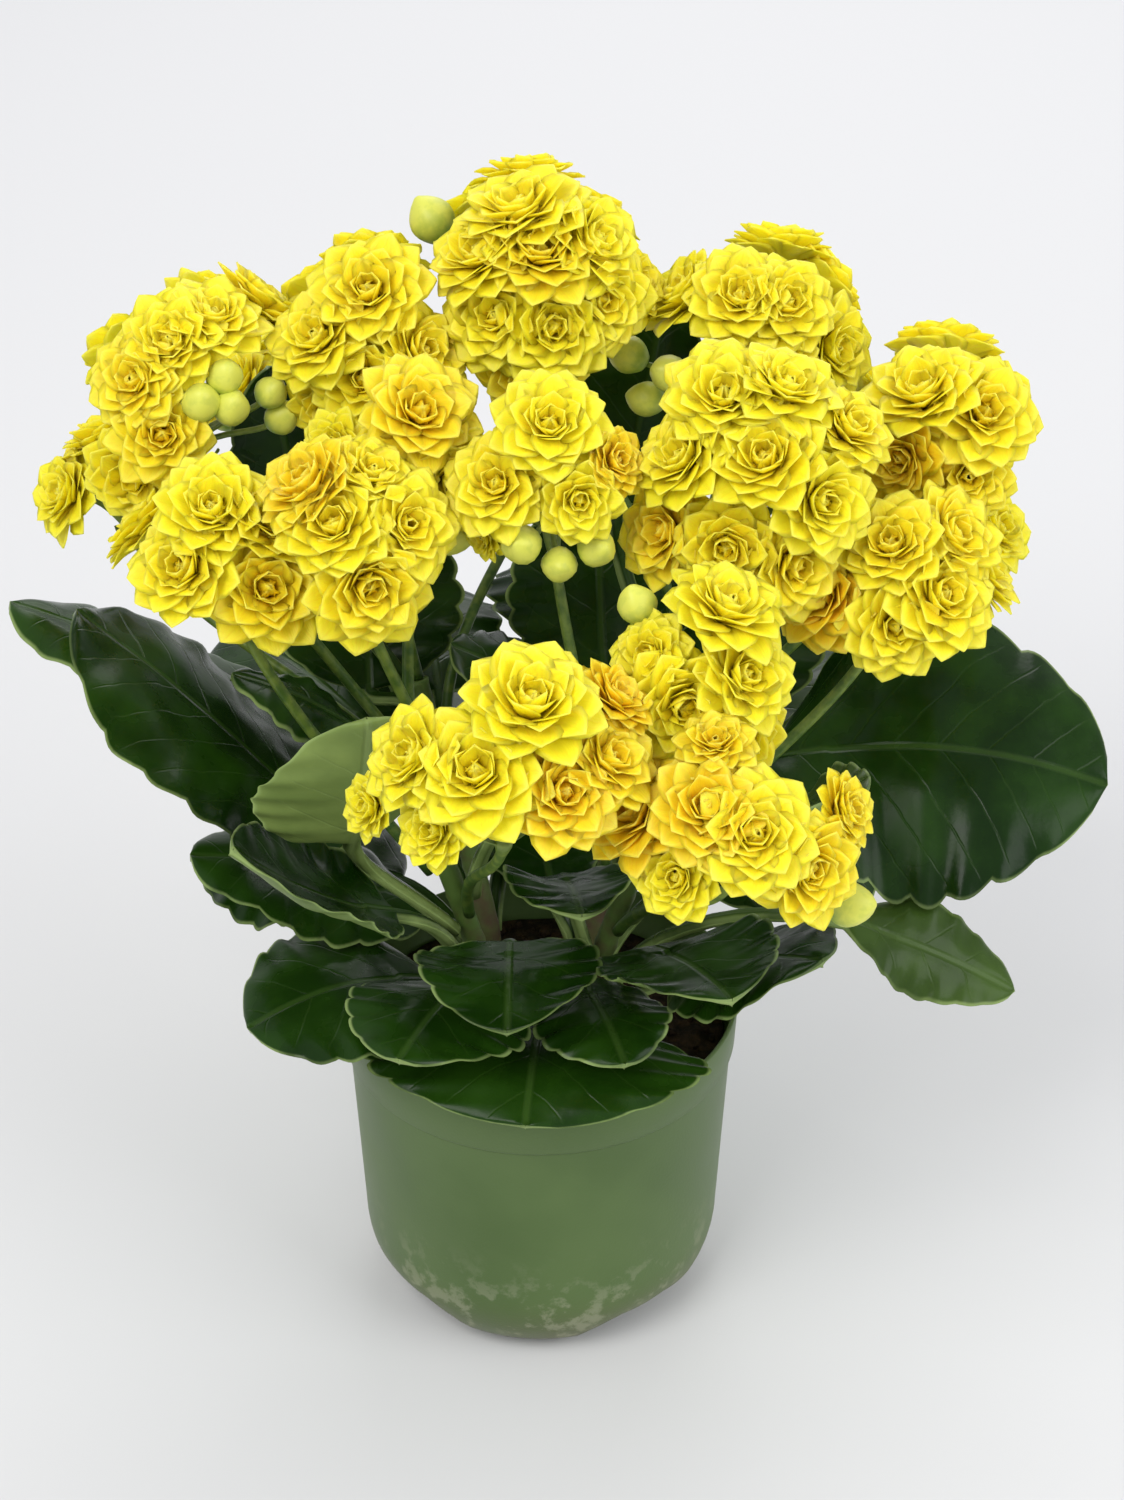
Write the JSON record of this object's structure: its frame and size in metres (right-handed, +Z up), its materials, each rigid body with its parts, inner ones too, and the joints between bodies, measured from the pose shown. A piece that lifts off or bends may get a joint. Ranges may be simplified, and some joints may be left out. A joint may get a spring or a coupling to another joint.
{
  "type": "double-flowered kalanchoe in a plastic pot",
  "caption": "Bushy succulent with domed heads of double yellow flowers, round buds and thick scalloped leaves, in a tapered green plastic pot with drain pockets.",
  "frame": {"origin": "middle of the pot's underside, on the surface it stands on", "axes": "+Z up along the pot's axis, -Y towards the front that the picture shows, +X to the right seen from the front"},
  "size_m": [0.2696, 0.2247, 0.2884],
  "materials": {
    "pot_plastic": "satin",
    "soil": "matte",
    "stems": "satin",
    "leaves": "gloss",
    "flowers": "matte"
  },
  "bodies": {
    "root": {"pot": "pot_plastic", "soil": "soil", "stem_left_back": "stems", "stem_right_back": "stems", "stem_left_front": "stems", "stem_right_front": "stems", "leaf_far_left": "leaves", "leaf_left_large": "leaves", "leaf_left_middle": "leaves", "leaf_left_lobe": "leaves", "leaf_left_upright": "leaves", "leaf_left_cupped": "leaves", "leaf_front_left_rim": "leaves", "leaf_front_rim": "leaves", "leaf_front_inner": "leaves", "leaf_front_middle": "leaves", "leaf_front_right_inner": "leaves", "leaf_right_front_low": "leaves", "leaf_right_large": "leaves", "leaf_right_narrow": "leaves", "leaf_right_small": "leaves", "leaf_middle_inner": "leaves", "leaf_front_left_inner": "leaves", "leaf_front_low_middle": "leaves", "leaf_middle_back": "leaves", "leaf_upright_middle": "leaves", "leaf_upright_left": "leaves", "leaf_upright_right": "leaves", "leaf_inner_middle": "leaves", "leaf_high_middle": "leaves", "leaf_high_left": "leaves", "leaf_back_left": "leaves", "leaf_back_middle": "leaves", "leaf_back_right": "leaves", "leaf_back_upper": "leaves", "leaf_back_upper_left": "leaves", "leaf_right_back_rim": "leaves", "leaf_left_back_rim": "leaves", "leaf_back_rim": "leaves", "flower_head_top": "flowers", "flower_head_back_right": "flowers", "flower_head_right": "flowers", "flower_head_right_low": "flowers", "flower_head_centre_right": "flowers", "flower_head_front_upper": "flowers", "flower_head_front_left": "flowers", "flower_head_front_right": "flowers", "flower_head_left_low": "flowers", "flower_head_left_inner": "flowers", "flower_head_left": "flowers", "flower_head_back_left": "flowers", "flower_head_centre_left": "flowers", "flower_head_centre": "flowers", "flower_head_far_left": "flowers", "flower_head_far_back": "flowers", "flower_head_far_right": "flowers", "flower_head_left_back_low": "flowers", "flower_head_right_back_low": "flowers"}
  },
  "joints": []
}
